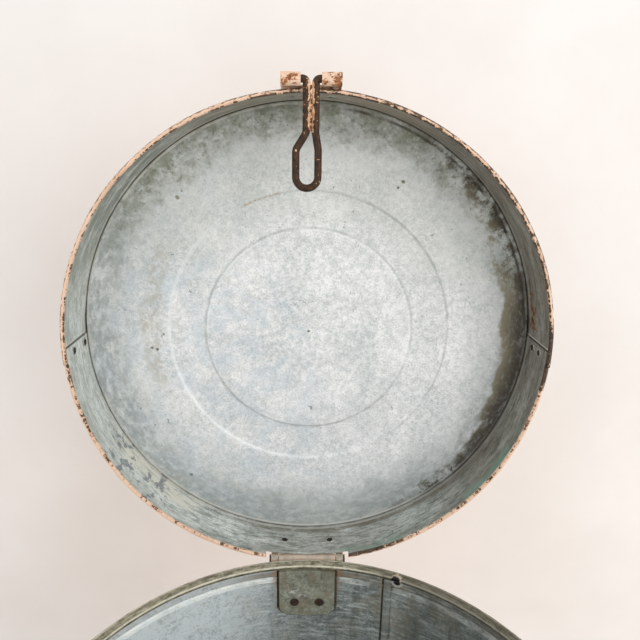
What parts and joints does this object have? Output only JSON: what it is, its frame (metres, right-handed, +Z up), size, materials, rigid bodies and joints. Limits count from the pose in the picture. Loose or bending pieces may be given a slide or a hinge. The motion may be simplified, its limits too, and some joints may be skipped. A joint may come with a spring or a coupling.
{
  "type": "flour tin",
  "caption": "Round sheet-metal flour tin with a hinged lid, a wire hasp and staple, and drop handles at the sides.",
  "frame": {"origin": "middle of the foot ring, on the surface that the tin stands on", "axes": "+Z up along the tin's axis, -Y towards the hasp and the viewer, +Y towards the hinge, +X to the right"},
  "size_m": [0.318, 0.3819, 0.6356],
  "materials": {
    "painted_sheet": "chipped peach paint outside, mottled zinc inside",
    "painted_fittings": "chipped peach paint",
    "zinc_sheet": "dull mottled zinc",
    "dark_iron": "dark brown iron with flecks of paint",
    "rivets": "dark iron"
  },
  "bodies": {
    "tin_body": {"body_wall": "painted_sheet", "rim_wire": "dark_iron", "body_bottom": "painted_sheet", "hinge_body_leaf": "zinc_sheet", "hinge_body_rivets": "rivets", "hinge_pin": "dark_iron", "staple": "dark_iron", "staple_plate": "painted_fittings", "staple_plate_rivets": "rivets", "bail_clip_left": "painted_fittings", "bail_clip_right": "painted_fittings", "bail_clip_rivets_left": "rivets", "bail_clip_rivets_right": "rivets"},
    "lid": {"lid_rear_band": "painted_sheet", "lid_front_band": "painted_sheet", "lid_lap_rivets": "rivets", "lid_panel": "painted_sheet", "hinge_lid_leaf": "painted_fittings", "hinge_lid_rivets": "rivets", "hasp_clip": "painted_fittings", "hasp_clip_rivets": "rivets"},
    "hasp": {"hasp": "dark_iron"},
    "bail_left": {"bail_left": "dark_iron"},
    "bail_right": {"bail_right": "dark_iron"}
  },
  "joints": [
    {"name": "lid_hinge", "type": "hinge", "parent": "tin_body", "child": "lid", "pos_m": [0, 0.1578, 0.3134], "axis": [1, 0, 0], "range_deg": [0, 92.5]},
    {"name": "hasp_swing", "type": "hinge", "parent": "lid", "child": "hasp", "pos_m": [0, 0.1629, 0.63188], "axis": [1, 0, 0], "range_deg": [-109, 0]},
    {"name": "bail_right_swing", "type": "hinge", "parent": "tin_body", "child": "bail_right", "pos_m": [0.155, 0, 0.215], "axis": [0, -1, 0], "range_deg": [0, 100]},
    {"name": "bail_left_swing", "type": "hinge", "parent": "tin_body", "child": "bail_left", "pos_m": [-0.155, 0, 0.215], "axis": [0, 1, 0], "range_deg": [0, 100]}
  ],
  "couplings": [
    {"joint": "hasp_swing", "follows": "lid_hinge", "ratio": -1.1622}
  ]
}
